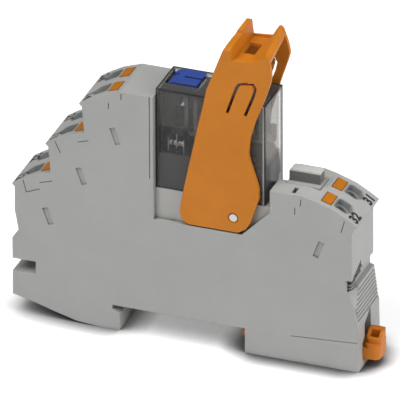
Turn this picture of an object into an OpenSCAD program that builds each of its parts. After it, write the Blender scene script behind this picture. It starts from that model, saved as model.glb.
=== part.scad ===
// Plug-in relay module that snaps onto a 35 mm top-hat rail.
// +X runs along the module, +Y across it and +Z away from the rail.
// The origin is the middle of the rail slot, on the face that bears on the rail.
// The feature that takes the most skill is the miniature relay with its retaining lever:
// coil, yoke, hinged armature and contact blades under a clear cover, lifted by the lever.

/* [Housing] */
// Width of the whole module across the rail row
body_w = 16; // [15:0.5:20]
// Thickness of the snap-on side cover
cover_t = 1.2; // [0.8:0.1:1.6]
// Thickness of the moulded far wall
wall_t = 1.4; // [1:0.1:1.8]
// Height of the tower's flat top over the rail
tower_h = 61; // [60:0.5:64]
// Rise of the right block's flat top over the well's floor
block_rise = 13.8; // [13:0.1:15.5]
// Depth of both feet below the rail face
foot_h = 6.9; // [6.5:0.1:8]
// Height of the relay well's floor
well_floor = 26.5; // [25.5:0.1:26.9]
// Radius-like bevel on the lower right of the well
well_bevel = 7.5; // [7:0.1:8]

/* [Rail] */
// Width of the top-hat rail
rail_w = 35; // [34.5:0.1:35.5]
// Play of the slot round the rail
rail_play = 0.4; // [0.2:0.1:0.8]
// Thickness of the rail's flange
flange_t = 1; // [0.8:0.1:1.2]
// Reach of the fixed hook under the flange
hook_reach = 2; // [1.5:0.1:2.5]

/* [Terminals] */
// Step from one tier to the next along X
tier_pitch_x = 9.07; // [8.8:0.01:9.4]
// Step from one tier to the next along Z
tier_pitch_z = 13; // [12.6:0.1:13.4]
// Slope of the wire entries against the vertical, in degrees
terminal_tilt = 27; // [24:1:30]
// Distance between the two columns of terminals across Y
column_pitch = 7.8; // [7.6:0.1:7.9]
// Radius of the round wire entry
wire_r = 1.65; // [1.3:0.05:1.7]
// Length of a release button along the deck
button_l = 2.6; // [2.4:0.1:2.8]
// Width of a release button across Y
button_w = 4.7; // [4.2:0.1:4.9]
// Travel of a release button
button_travel = 1.5; // [1:0.1:1.6]

/* [Relay] */
// Length of the relay
relay_l = 29; // [28.6:0.1:29.2]
// Width of the relay
relay_w = 12.7; // [12.5:0.05:12.8]
// Height of the relay's cover over the socket
relay_h = 27.8; // [27.6:0.1:28.4]
// Thickness of the socket that stands on the well's floor
socket_t = 8.5; // [8.3:0.1:8.8]
// Thickness of the relay's clear cover
shell_t = 0.8; // [0.6:0.05:0.9]
// Travel of the armature, in degrees
armature_swing = 5; // [3:0.5:5]

/* [Lever] */
// Pivot of the retaining lever along X
pivot_x = 14.7; // [14.4:0.1:15]
// Pivot of the retaining lever above the rail
pivot_z = 30.9; // [30.7:0.1:31.2]
// Radius of the pivot pins
pivot_r = 1.05; // [0.9:0.05:1.3]
// Height of the retaining lever
lever_h = 52.9; // [52:0.1:55]
// Length of the lever's side plate along X
lever_l = 24.3; // [24:0.1:25]
// Thickness of the lever's side plates
lever_t = 1.1; // [0.9:0.05:1.2]

/* [Rail latch] */
// Travel of the rail latch
latch_travel = 3; // [2.6:0.1:3.2]
// Height of the latch's bar
latch_h = 3.5; // [3.2:0.1:3.8]
// Width of the latch's bar across Y
latch_w = 6.8; // [6.4:0.1:7]

/* [Function module] */
// Length of the function module's head
module_l = 8.9; // [8.7:0.1:10]
// Height of its grip over the right block
grip_h = 3.4; // [2.8:0.1:4.4]

/* [Hidden] */
$fn = 48;

// Fits and overruns shared by all pieces
cut = 1;
slip = 0.15;
snug = 0.03;
running = 0.05;
side_gap = 0.3;

// Faces across Y
y_near = -body_w / 2;
y_far = body_w / 2;
y_cover = y_near + cover_t;
y_wall = y_far - wall_t;

// Deck of one tier, measured from the tip of its lip
deck_c_run = 2.6;
deck_c_rise = 1.7;
deck_b_run = 3.4;
deck_b_rise = 1.9;
deck_a_run = 5;
deck_a_rise = 1.7;
lip_back = 0.8;
lip_drop = 0.75;
wall_lean = 0.55;
deck_run = deck_a_run + deck_b_run + deck_c_run;
deck_rise = deck_a_rise + deck_b_rise + deck_c_rise;
tower_flat = 8.7;
tiers = 3;

// Relay well between the tower and the right block
well_left = -6.5;
well_right = 24.4;
well_slope_z = well_floor + well_bevel;
block_h = well_floor + block_rise;
socket_h = well_floor + socket_t;

// How far the housing reaches to either side of the rail's middle
bay_margin = 2.3;
bay_end = 1;
tip_out = 0.3;
right_tip_x = well_right + bay_margin + module_l + bay_end + deck_run;
reach_left = -left_tip(tiers - 1)[0];
reach_right = right_tip_x + tip_out;

// Rail slot, fixed hook and heel
slot_half = (rail_w + rail_play) / 2;
flange_room = flange_t + rail_play / 4;
hook_bevel = 1.1;
heel_start = -slot_half + hook_reach;
heel_run = reach_left + heel_start;
heel_rise = 5.2;
heel_shares = [[0.17, 0], [0.40, 0.10], [0.62, 0.43], [0.80, 0.73], [1, 1]];

// Left end: a slot for a lifting tool, a ledge and a slanted wall
tool_slot_z = 4.95;
tool_slot_h = 3.55;
tool_slot_l = 6.2;
ledge_z = 14.4;
ledge_rise = 2.4;
ledge_in = 1.7;
wall_in = 0.7;
wall_z = 22.6;

// Right block and its end face
shoulder_l = 8.8;
tip_below = 6.1;
right_tip_z = block_h - tip_below;
end_in = 1.85;
end_drop = 2.7;
end_bend_z = right_tip_z - end_drop;
notch_in = 3.4;
notch_top = 18.6;
notch_low = 14.8;
end_shares = [[0.62, 0.79], [0.83, 0.65], [0.92, 0.59], [1, 0]];
groove_in = 2.7;
groove_up = 0.3;
groove_low = 15.6;
tub_end_shares = [[0.53, 1.028], [0.66, 0.88], [0.765, 0.75], [0.83, 0.65], [0.92, 0.59], [1, 0]];
rib_count = 8;
rib_top = 14.5;
rib_pitch = 1.05;
rib_gap = 0.42;
rib_deep = 0.24;
rib_edge = 0.08;

// Points of a tip, its lip and its deck
function left_tip(i) = [well_left - tower_flat - deck_run - i * tier_pitch_x,
    tower_h - deck_rise - i * tier_pitch_z];
right_tip = [right_tip_x, right_tip_z];
function deck_b(tip, s) = tip + [s * (deck_c_run + deck_b_run), deck_c_rise + deck_b_rise];
function deck_points(tip, s) = [tip + [s * lip_back, -lip_drop], tip,
    tip + [s * deck_c_run, deck_c_rise], deck_b(tip, s)];
function deck_foot(i) = let (x = left_tip(i - 1)[0] + lip_back + wall_lean, b = deck_b(left_tip(i), 1))
    [x, b[1] + (x - b[0]) * deck_a_rise / deck_a_run];

// Lower end face: a plain curve on the cover, a ribbed one on the tub
function end_point(s) = [reach_right - notch_in * (1 - s[0]), -foot_h + s[1] * (notch_low + foot_h)];
tub_curve = [for (i = [len(tub_end_shares) - 1 : -1 : 0]) let (p = end_point(tub_end_shares[i])) [p[1], p[0]]];
function end_x(z) = lookup(z, tub_curve);
function cover_end() = concat([[reach_right - end_in, notch_top], [reach_right - notch_in, notch_top],
    [reach_right - notch_in, notch_low]], [for (s = end_shares) end_point(s)]);
function tub_end() = concat([[reach_right - end_in, notch_top + groove_up],
    [reach_right - groove_in, notch_top + groove_up], [reach_right - groove_in, groove_low],
    end_point(tub_end_shares[0])],
    [for (i = [0 : rib_count - 1]) let (z = rib_top - i * rib_pitch, x = end_x(z)) each [[x, z],
        [x - rib_deep, z - rib_edge], [x - rib_deep, z - rib_gap + rib_edge], [end_x(z - rib_gap), z - rib_gap]]],
    [end_point(tub_end_shares[4]), end_point(tub_end_shares[5])]);

// Outline of the housing in the XZ plane, closed by one of the two end faces
function housing_outline(end) = concat(
    [[-slot_half, 0], [-slot_half, -flange_room], [heel_start, -flange_room - hook_bevel],
        [heel_start, -foot_h]],
    [for (s = heel_shares) [heel_start - s[0] * heel_run, -foot_h + s[1] * heel_rise]],
    [[-reach_left, tool_slot_z], [-reach_left + tool_slot_l, tool_slot_z],
        [-reach_left + tool_slot_l, tool_slot_z + tool_slot_h],
        [-reach_left, tool_slot_z + tool_slot_h], [-reach_left, ledge_z],
        [-reach_left + ledge_in, ledge_z + ledge_rise], [-reach_left + wall_in, wall_z]],
    [for (i = [tiers - 1 : -1 : 0]) each concat(deck_points(left_tip(i), 1),
        i == 0 ? [left_tip(i) + [deck_run, deck_rise]] : [deck_foot(i)])],
    [[well_left, tower_h], [well_left, well_floor], [well_right - well_bevel, well_floor],
        [well_right, well_slope_z], [well_right, block_h], [well_right + shoulder_l, block_h],
        right_tip + [-deck_run, deck_rise], deck_b(right_tip, -1),
        right_tip + [-deck_c_run, deck_c_rise], right_tip, right_tip + [-lip_back, -lip_drop],
        [reach_right - end_in, end_bend_z]],
    end,
    [[slot_half, -foot_h], [slot_half, 0]]);

// A flat profile in the XZ plane, extruded from y0 to y1
module slab(points, y0, y1) {
    translate([0, y1, 0]) rotate([90, 0, 0]) linear_extrude(y1 - y0) polygon(points);
}

// A rod along Y
module rod(x, z, r, y0, y1) {
    translate([x, y1, z]) rotate([90, 0, 0]) cylinder(r = r, h = y1 - y0);
}

// A box from its low corner to its high corner
module block(low, high) {
    translate(low) cube(high - low);
}

// Outline of a strip of half thickness h that follows a path, with mitred bends
function unit(v) = v / norm(v);
function side(p, i) = let (d = unit(p[i + 1] - p[i])) [-d[1], d[0]];
function mitre(p, i) = i == 0 ? side(p, 0) : i == len(p) - 1 ? side(p, i - 1) :
    let (a = side(p, i - 1), b = side(p, i)) (a + b) / (1 + a * b);
function strip(p, h) = concat([for (i = [0 : len(p) - 1]) p[i] + h * mitre(p, i)],
    [for (i = [len(p) - 1 : -1 : 0]) p[i] - h * mitre(p, i)]);

// Terminal frame: its origin is the wire entry on the deck, its axis points out of the deck.
// Places 1 to 6 are the left tiers from the top down, 7 and 8 are on the right block.
entry_from_tip = 4.9;
entry_shift = 0.45;
entry_over_tip = 3;
places = 8;
function is_right(k) = k > 2 * tiers;
function tier_of(k) = is_right(k) ? 0 : floor((k - 1) / 2);
function column_of(k) = k % 2 == 1 ? -1 : 1;
function tip_of(k) = is_right(k) ? right_tip : left_tip(tier_of(k));
function way_of(k) = is_right(k) ? -1 : 1;
function column_y(k) = column_of(k) * column_pitch / 2;
function entry(k) = tip_of(k) +
    [way_of(k) * (entry_from_tip + (is_right(k) ? entry_shift : 0)), entry_over_tip];
function out_of(k, p) = let (c = cos(terminal_tilt), s = sin(terminal_tilt))
    entry(k) + [way_of(k) * (p[0] * c - p[1] * s), p[0] * s + p[1] * c];
function into(k, p) = let (c = cos(terminal_tilt), s = sin(terminal_tilt), d = p - entry(k),
    x = way_of(k) * d[0]) [x * c + d[1] * s, d[1] * c - x * s];

module at_terminal(k) {
    translate([entry(k)[0], column_y(k), entry(k)[1]])
        mirror([is_right(k) ? 1 : 0, 0, 0]) rotate([0, -terminal_tilt, 0]) children();
}

// Sizes inside one terminal
deck_t = 6.5;
funnel_l = 4.3;
funnel_w = 4.9;
funnel_corner = 1;
lobe_x = -0.7;
lobe_r = 2.2;
mouth_t = 1.4;
mouth_wall = 0.3;
button_from_wire = 3.9;
button_proud = 0.15;
collar_out = 0.35;
collar_h = 1.2;
chamber_l = 8.6;
chamber_h = 9;
chamber_out = 2.4;
chamber_low = -deck_t - chamber_h;
chamber_in = chamber_l - chamber_out;
partition_t = 0.8;
bar_t = 0.8;
bar_w = 2.4;
spring_t = 0.35;
spring_w = 3.6;

// Height of the sloping deck at x, both in the terminal frame
function deck_at(k, x) = let (b = into(k, deck_b(tip_of(k), way_of(k))),
    a = into(k, tip_of(k) + [way_of(k) * deck_run, deck_rise]))
    b[1] + (x - b[0]) * (a[1] - b[1]) / (a[0] - b[0]);

// Contact rows of the relay, named from left to right
relay_x = well_left + slip;
pin_shares = [0.16, 0.33, 0.50, 0.86];
pin_x = [for (s = pin_shares) relay_x + s * relay_l];
pin_t = 0.8;
pin_w = 1.2;

// Buses that carry each tier's current to its socket contact
bus_top = 21.5;
bus_pitch = 2.8;
bus_right_drop = 20.3;
drop_in = 2.7;
drop_from_deck = 2.5;
drop_z = 40;
riser_top = well_floor + bar_t;
coil_riser_up = 2.9;
coil_riser_top = well_floor + coil_riser_up;
function bus_z(k) = is_right(k) ? block_h - bus_right_drop : bus_top - tier_of(k) * bus_pitch;
function drop_of(k) = [left_tip(tier_of(k))[0] + deck_run + drop_from_deck,
    drop_z - tier_of(k) * tier_pitch_z];
function riser_x(k) = pin_x[is_right(k) ? tiers : tier_of(k)];
function riser_end(i) = i < tiers ? riser_top : coil_riser_top;
tab_x = -(wire_r + bar_t / 2 + slip);
function bar_path(k) = concat(
    [out_of(k, [tab_x, -deck_t - collar_h]), out_of(k, [tab_x, chamber_low + bar_t])],
    is_right(k) ? [[out_of(k, [0, chamber_low])[0] - drop_in, bus_z(k)]] :
    drop_of(k)[1] > bus_z(k) + bus_pitch ?
        [drop_of(k), [drop_of(k)[0], bus_z(k)]] : [[drop_of(k)[0], bus_z(k)]],
    [[riser_x(k), bus_z(k)], [riser_x(k), riser_end(is_right(k) ? tiers : 0)]]);

// Latch channel under the right block
channel_share = 1.4;
channel_z = -channel_share * flange_room;
latch_y = -1.2;
channel_low = channel_z - latch_h - slip;
channel_half = latch_w / 2 + slip;
post_from_end = 11.4;
post_x = reach_right - post_from_end;
post_l = 1.5;
post_w = 3.2;
spring_room = 9.4;
arch_rise = 8.4;
arch_low = 1;
arch_shares = [[-0.25, 0.27], [-0.25, 0.70], [0.43, 1]];

// Plug-in function module
module_x = well_right + bay_margin;
module_head_h = 1.7;
module_body_l = 4.6;
module_body_h = 8.2;
module_w = 6;
module_y = 0.65;
grip_l = 8.2;
grip_w = 3;
grip_y = 0.5;
bay_y = -1.1;
module_low = block_h - module_head_h - module_body_h;
module_pin_l = 3.6;
grip_x = module_x + (module_l - grip_l) / 2;
grip_edge = 0.6;

// Curved gap under the right block's overhang and the fins inside it
horn_shares = [[0, 0], [0, 0.97], [0.11, 0.97], [0.29, 1.10], [0.35, 1.47], [0.42, 1.53],
    [0.49, 1.18], [0.30, 0.24], [0.19, 0]];
horn_in = 1.5;
fin_count = 3;
fin_pitch = 0.85;
fin_t = 0.3;
fin_out = 1;
fin_l = 2.2;
scoop_in = 1.2;

// Test point beside the function module
test_slot_in = 2.95;
test_slot_x = module_x + test_slot_in;
test_slot_l = 1.1;
test_slot_w = 2.9;
test_slot_h = 5;

// Wire entry and button shaft of one terminal
module entry_voids(k) {
    at_terminal(k) {
        translate([0, 0, -deck_t - cut]) entry_post(0, deck_t + 3 * cut);
        translate([button_from_wire - button_l / 2 - slip, -button_w / 2 - slip, -deck_t - cut])
            cube([button_l + 2 * slip, button_w + 2 * slip, deck_t + 3 * cut]);
    }
}

// Clamp chamber and bar channel that both columns of a tier share
module tier_voids(k) {
    at_terminal(k) translate([-chamber_out, y_cover - cut - column_y(k), chamber_low])
        cube([chamber_l, y_wall - y_cover + cut, chamber_h]);
    slab(strip(bar_path(k), bar_t / 2 + slip), y_cover - 2 * cut, y_wall - slip);
}

// Shape of a wire entry: a rounded block with a round lobe, drawn in by g
module entry_post(g, h) {
    rounded_post(funnel_l - 2 * g, funnel_w - 2 * g, funnel_corner - g, h);
    translate([lobe_x, 0, 0]) cylinder(r = lobe_r - g, h = h);
}

// A post with rounded corners, standing on z = 0 and centred
module rounded_post(l, w, r, h) {
    block([-l / 2 + r, -w / 2, 0], [l / 2 - r, w / 2, h]);
    block([-l / 2, -w / 2 + r, 0], [l / 2, w / 2 - r, h]);
    for (x = [-1, 1], y = [-1, 1])
        translate([x * (l / 2 - r), y * (w / 2 - r), 0]) cylinder(r = r, h = h);
}

module housing_tub() {
    color("#b4b5ae") difference() {
        slab(housing_outline(tub_end()), y_cover, y_far);
        for (k = [1 : places]) entry_voids(k);
        for (k = [1, 3, 5, 7]) tier_voids(k);
        module_pocket();
        latch_channel();
        block([test_slot_x, y_cover - cut, block_h - test_slot_h],
            [test_slot_x + test_slot_l, y_cover + test_slot_w, block_h + cut]);
        block([well_right - cut, bay_y, well_slope_z], [module_x, y_far + cut, block_h + cut]);
        slab_x([for (s = horn_shares) [y_near + s[0] * body_w, notch_low + s[1] * (notch_top - notch_low)]],
            reach_right - notch_in - horn_in, reach_right + cut);
        end_scoop();
    }
    color("#b4b5ae") {
        block([post_x, latch_y - post_w / 2, channel_low - snug],
            [post_x + post_l, latch_y + post_w / 2, channel_z + snug]);
        for (i = [1 : fin_count]) translate([0, 0, notch_low + i * fin_pitch])
            block([reach_right - notch_in - horn_in - snug, y_cover, 0],
                [reach_right - notch_in + fin_out, y_cover + fin_l, fin_t]);
    }
}

// Scoop that leads the ribbed end face into the cover's plain one
scoop_l = 4;
scoop_low = 10;
module end_scoop() {
    hull() {
        block([reach_right - notch_in, y_cover - cut, notch_low],
            [reach_right + cut, y_cover, notch_low + groove_up]);
        block([reach_right - scoop_in, y_cover - cut, scoop_low],
            [reach_right + cut, y_cover, scoop_low + groove_up]);
        block([reach_right - scoop_in, y_cover + scoop_l, notch_low],
            [reach_right + cut, y_cover + scoop_l + snug, notch_low + groove_up]);
    }
}

module module_pocket() {
    block([module_x - slip, module_y - module_w / 2 - slip, block_h - module_head_h - slip],
        [module_x + module_l + slip, module_y + module_w / 2 + slip, block_h + cut]);
    block([module_x - slip, module_y - module_w / 2 - slip, module_low - slip],
        [module_x + module_body_l + slip, module_y + module_w / 2 + slip, block_h]);
    module_blades(slip);
}

module latch_channel() {
    block([slot_half - cut, latch_y - channel_half, channel_low],
        [reach_right + cut, latch_y + channel_half, channel_z]);
    slab_x(concat([[latch_y - channel_half, channel_z - cut], [latch_y - channel_half, channel_z + arch_low]],
        [for (s = arch_shares) [latch_y + s[0] * latch_w, channel_z + s[1] * arch_rise]],
        [[latch_y + arch_shares[2][0] * latch_w, channel_z - cut]]),
        reach_right - notch_in - cut, reach_right + cut);
}

// A flat profile in the YZ plane, extruded from x0 to x1
module slab_x(points, x0, x1) {
    translate([x0, 0, 0]) rotate([90, 0, 90]) linear_extrude(x1 - x0) polygon(points);
}

// Snap pockets and witness lines on the outside of the cover
snap_l = 1.5;
snap_h = 4.7;
snap_deep = 0.4;
snap_tilt = 20;
snap_x = -0.6;
snap_z = -11.5;
snap_drop = 0.7;
line_w = 0.2;
line_deep = 0.25;
seam_in = 0.85;
seam_l = 23;
witness_shares = [
    [[-0.337, 0.992], [-0.337, 0.964]], [[-0.413, 0.940], [-0.413, 0.912]],
    [[-0.737, 0.720], [-0.704, 0.669]], [[-0.599, 0.734], [-0.537, 0.748]],
    [[-0.931, 0.512], [-0.913, 0.459], [-0.830, 0.484]], [[-0.832, 0.513], [-0.756, 0.531]],
    [[0.734, 0.644], [0.734, 0.615]], [[0.700, 0.603], [0.700, 0.572]],
    [[0.996, 0.579], [0.975, 0.525]], [[0.674, 0.003], [1.071, 0.021]]];

module side_cover() {
    color("#b4b5ae") difference() {
        slab(housing_outline(cover_end()), y_near, y_cover);
        for (k = [1, 3, 5, 7]) snap_pocket(k);
        block([well_left - seam_in - line_w, y_near - cut, tower_h - seam_l],
            [well_left - seam_in, y_near + line_deep, tower_h + cut]);
        for (path = witness_shares) witness_line(path);
    }
}

// A fine groove in the cover, along shares of the housing's reach and height
module witness_line(path) {
    slab(strip([for (s = path) [s[0] * reach_left, s[1] * tower_h]], line_w / 2),
        y_near - cut, y_near + line_deep);
}

module snap_pocket(k) {
    p = out_of(k, [snap_x, snap_z - (is_right(k) ? snap_drop : 0)]);
    translate([p[0], y_near - cut, p[1]]) rotate([0, -way_of(k) * snap_tilt, 0])
        translate([-snap_l / 2, 0, -snap_h / 2]) cube([snap_l, cut + snap_deep, snap_h]);
}

// Dark funnels that line the wire entries
module wire_funnels() {
    color("#4c4f50") for (k = [1 : places]) at_terminal(k) difference() {
        intersection() {
            translate([0, 0, -deck_t]) entry_post(snug, deck_t + cut);
            funnel_limit(k);
        }
        translate([0, 0, -deck_t - cut]) cylinder(r = wire_r, h = deck_t + 3 * cut);
        translate([0, 0, -mouth_t]) entry_post(mouth_wall, mouth_t + 3 * cut);
    }
}

// Everything just below the deck's surface, in the terminal frame
module funnel_limit(k) {
    a = into(k, tip_of(k) + [way_of(k) * deck_run, deck_rise]);
    b = into(k, deck_b(tip_of(k), way_of(k)));
    c = into(k, tip_of(k) + [way_of(k) * deck_c_run, deck_c_rise]);
    d = into(k, tip_of(k));
    slab([[a[0], -deck_t - cut], [a[0], a[1] - snug], [b[0], b[1] - snug], [c[0], c[1] - snug],
        [d[0], d[1] - snug], [d[0], -deck_t - cut]], -body_w / 2, body_w / 2);
}

// Insulating plates between the near and the far clamp of each tier
module terminal_partitions() {
    color("#8d908c") for (k = [1, 3, 5, 7]) difference() {
        at_terminal(k) translate([-chamber_out + snug, -column_y(k) - partition_t / 2, chamber_low + snug])
            cube([chamber_l - 2 * snug, partition_t, chamber_h - 2 * snug]);
    }
}

module current_bar(k) {
    color("#b87842") slab(strip(bar_path(k), bar_t / 2), column_y(k) - bar_w / 2, column_y(k) + bar_w / 2);
}

// Push-in clamp spring: a back leg, a loop and the leg that grips the wire
spring_back = chamber_in - spring_t;
spring_low = chamber_low + spring_t + spring_t / 2;
spring_r = 1.5;
spring_top = -deck_t - collar_h - running - spring_t / 2;
function loop_points(c, r, a0, a1, n) = [for (i = [0 : n]) let (a = a0 + (a1 - a0) * i / n)
    c + r * [cos(a), sin(a)]];
spring_leg_share = 3.2;
loop_steps = 6;
loop_sweep = 130;
function spring_path() = concat([[spring_back, spring_low]],
    loop_points([spring_back - spring_r, spring_top - spring_r], spring_r, 0, loop_sweep, loop_steps),
    [[-wire_r + spring_t, spring_top - spring_leg_share * spring_r]]);

module clamp_spring(k) {
    color("#c9ccce") at_terminal(k) slab(strip(spring_path(), spring_t / 2), -spring_w / 2, spring_w / 2);
}

module release_button(k) {
    x0 = button_from_wire - button_l / 2;
    x1 = button_from_wire + button_l / 2;
    low = -deck_t - collar_h;
    color("#d9822b") at_terminal(k) {
        slab([[x0, low], [x1, low], [x1, deck_at(k, x1) + button_proud], [x0, deck_at(k, x0) + button_proud]],
            -button_w / 2, button_w / 2);
        block([x0 - collar_out, -button_w / 2, low], [x1 + collar_out, button_w / 2, -deck_t - running]);
    }
}

// Socket block that fills the well under the relay
fork_t = 0.4;
fork_gap = 0.04;
fork_h = socket_h - coil_riser_top - fork_t;
pocket_half_l = pin_t / 2 + fork_gap + fork_t + snug;
pocket_half_w = bar_w / 2 + snug;
pin_l = fork_h - 2 * fork_t;
socket_half = body_w / 2 - lever_t - side_gap;
socket_bevel = min(well_bevel, socket_t);

module relay_socket() {
    color("#c2c3bd") difference() {
        slab([[well_left, well_floor], [well_right - well_bevel, well_floor],
            [well_right - well_bevel + socket_bevel, well_floor + socket_bevel],
            [well_right - well_bevel + socket_bevel, socket_h], [well_left, socket_h]],
            -socket_half, socket_half);
        for (x = pin_x, s = [-1, 1])
            block([x - pocket_half_l, s * column_pitch / 2 - pocket_half_w, well_floor - cut],
                [x + pocket_half_l, s * column_pitch / 2 + pocket_half_w, socket_h + cut]);
        for (s = [-1, 1]) {
            nub_path(s);
            rod(pivot_x, pivot_z, pivot_r + snug,
                min(s * pin_inner, s * body_w), max(s * pin_inner, s * body_w));
        }
    }
}

module socket_contacts() {
    color("#c08a4e") for (i = [0 : tiers], s = [-1, 1])
        translate([pin_x[i], s * column_pitch / 2, riser_end(i)]) difference() {
            block([-pocket_half_l + snug, -bar_w / 2, 0], [pocket_half_l - snug, bar_w / 2, fork_h]);
            block([-pin_t / 2 - fork_gap, -bar_w / 2 - cut, fork_t],
                [pin_t / 2 + fork_gap, bar_w / 2 + cut, fork_h + cut]);
        }
}

pin_inner = 3;
module lever_pivot_pins() {
    color("#d5d7d6") for (s = [-1, 1])
        rod(pivot_x, pivot_z, pivot_r, min(s * pin_inner, s * y_far), max(s * pin_inner, s * y_far));
}

// Retaining lever: two side plates and a finger bridge with two ridges
lever_x = 0.5;
lever_down = 4;
lever_z = pivot_z - lever_down;
lower_shares = [[0.10, 0.000], [0.635, 0.000], [0.72, 0.024], [0.77, 0.062], [0.81, 0.12],
    [0.865, 0.20], [0.86, 0.252], [0.825, 0.307], [0.765, 0.393], [0.75, 0.428], [0.765, 0.506],
    [0.82, 0.60]];
near_shares = [[0.925, 0.728], [0.985, 0.815], [1.00, 0.85], [1.00, 0.885], [0.985, 0.925],
    [0.965, 0.955], [0.94, 0.962]];
far_shares = [[0.885, 0.70], [0.965, 0.815], [0.98, 0.845], [0.97, 0.875], [0.945, 0.915],
    [0.905, 0.965], [0.88, 0.978], [0.86, 0.975]];
upper_shares = [[0.80, 0.920], [0.575, 0.910], [0.555, 0.985], [0.525, 1.000], [0.50, 0.985],
    [0.47, 0.952], [0.42, 0.89], [0.38, 0.84], [0.295, 0.735], [0.265, 0.66], [0.20, 0.53],
    [0.045, 0.19], [0.012, 0.10], [0.00, 0.062], [0.012, 0.030], [0.045, 0.010]];
bridge_shares = [[0.38, 0.840], [0.42, 0.89], [0.47, 0.952], [0.50, 0.985], [0.525, 1.000],
    [0.555, 0.985], [0.575, 0.910], [0.80, 0.920], [0.88, 0.920], [0.88, 0.890], [0.52, 0.880],
    [0.49, 0.90], [0.44, 0.853]];
near_ridge_shares = [[0.78, 0.905], [0.925, 0.958], [0.975, 0.940], [0.965, 0.905], [0.86, 0.890]];
far_ridge_shares = [[0.775, 0.905], [0.85, 0.972], [0.88, 0.978], [0.925, 0.940], [0.90, 0.905]];
function lever_points(shares) = [for (s = shares) [lever_x + s[0] * lever_l, lever_z + s[1] * lever_h]];
near_plate = lever_points(concat(lower_shares, near_shares, upper_shares));
far_plate = lever_points(concat(lower_shares, far_shares, upper_shares));
tongue = lever_points([[0.519, 0.630], [0.622, 0.771], [0.654, 0.793], [0.73, 0.802],
    [0.807, 0.803], [0.828, 0.785], [0.807, 0.742], [0.716, 0.631]]);
peep = lever_points([[0.735, 0.785], [0.795, 0.785], [0.823, 0.771], [0.81, 0.743], [0.765, 0.703]]);
slit_w = 0.75;
peep_w = 0.5;
ear_shares = [[0, 0.955], [0.09, 0.966], [0.20, 0.972], [0.35, 0.974], [0.555, 0.970],
    [0.565, 0.985], [0.78, 0.993], [0.90, 0.990], [0.95, 0.982], [1, 0.960]];
rest_deep = 0.4;
bridge_share = 0.70;
rest_x0 = lever_points(bridge_shares)[6][0] + slip;
rest_x1 = lever_points(bridge_shares)[7][0] - slip;
ring_w = 0.35;
ring_deep = 0.2;
window_l = 3.3;
window_w = 5.8;
window_x = 15;
window_y = 0.9;
nub_r = 1;
nub_in = 1.35;
nub_arm = 11.5;
nub_x = pivot_x - nub_arm;
nub_z = socket_h - slip - nub_r;
lever_open = 20;

module retaining_lever() {
    color("#d5822a") difference() {
        union() {
            slab(near_plate, y_near, y_near + lever_t);
            slab(far_plate, y_far - lever_t, y_far);
            slab(lever_points(bridge_shares), y_near, y_far);
            hull() {
                slab(lever_points(near_ridge_shares), y_near, y_near + lever_t);
                slab(lever_points(far_ridge_shares), y_far - lever_t, y_far);
            }
            for (s = [-1, 1]) nub(s, 0, 0);
        }
        slab_x(concat([for (s = ear_shares)
                [y_near - cut + s[0] * (body_w + 2 * cut), lever_z + s[1] * lever_h]],
            [[y_far + cut, lever_z + lever_h + cut], [y_near - cut, lever_z + lever_h + cut]]),
            lever_x, lever_x + lever_l * bridge_share);
        block([rest_x0, y_near + 2 * lever_t, lever_points(bridge_shares)[6][1] - rest_deep],
            [rest_x1, y_far - lever_t / 2, lever_z + lever_h]);
        slab(strip(peep, peep_w / 2), 0, y_far + cut);
        for (y = [y_near, y_far]) rod(pivot_x, pivot_z, pivot_r + ring_w, y - ring_deep, y + ring_deep);
        rod(pivot_x, pivot_z, pivot_r + running, y_near - cut, y_far + cut);
        slab(strip(tongue, slit_w / 2), y_near - cut, y_far + cut);
        block([window_x, window_y - window_w / 2, lever_z + lever_h / 2],
            [window_x + window_l, window_y + window_w / 2, lever_z + lever_h]);
    }
}

// Ejector nub under the relay's rim, turned by a and grown by g
module nub(s, a, g) {
    c = [nub_x - pivot_x, nub_z - pivot_z];
    p = [pivot_x + c[0] * cos(a) + c[1] * sin(a), pivot_z - c[0] * sin(a) + c[1] * cos(a)];
    y0 = s * (y_far - lever_t + running);
    y1 = s * (y_far - lever_t - nub_in);
    rod(p[0], p[1], nub_r + g, min(y0, y1) - g, max(y0, y1) + g);
}

module nub_path(s) {
    x0 = nub_x - nub_r - side_gap;
    x1 = nub_x + nub_r + side_gap + (pivot_x - nub_x) * (1 - cos(lever_open)) + nub_r;
    y0 = s * (y_far - lever_t - nub_in - side_gap / 2);
    y1 = s * (y_far + cut);
    block([x0, min(y0, y1), nub_z - nub_r - side_gap], [x1, max(y0, y1), socket_h + cut]);
}

// Relay: a base, a clear cover and the works between them
relay_y = relay_w / 2;
relay_right = relay_x + relay_l;
relay_top = socket_h + relay_h;
base_h = 9.8;
base_top = socket_h + base_h;
top_t = 1;
inner_x0 = relay_x + shell_t;
inner_x1 = relay_right - shell_t;
inner_y = relay_y - shell_t;
inner_top = relay_top - top_t;

// Armature hinge and the contact blades that hang from it
hinge_in = 7.8;
hinge_up = 16;
hinge_x = relay_x + hinge_in;
hinge_z = socket_h + hinge_up;
blade_t = 0.25;
blade_w = 2;
rivet_r = 0.75;
rivet_l = 0.8;
rivet_down = 3.9;
rivet_z = hinge_z - rivet_down;
contact_gap = (hinge_z - rivet_z) * sin(armature_swing) + running;
moving_in = 2.85;
moving_x = hinge_x - moving_in;
open_x = moving_x - blade_t - 2 * rivet_l - contact_gap;
closed_x = moving_x + blade_t + 2 * rivet_l + snug;
blade_over = 1.6;
blade_top = rivet_z + blade_over;
blade_z = base_top - blade_over;
jog_up = 4;
jog_z = socket_h + jog_up;
function open_path() = [[pin_x[0], socket_h], [pin_x[0], jog_z], [open_x, blade_z], [open_x, blade_top]];
function closed_path() = [[pin_x[2], socket_h], [pin_x[2], jog_z], [closed_x, blade_z], [closed_x, blade_top]];
function common_path() = [[pin_x[1], socket_h], [pin_x[1], jog_z - blade_w], [moving_x, blade_z - blade_w],
    [moving_x, base_top + blade_t]];

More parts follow.
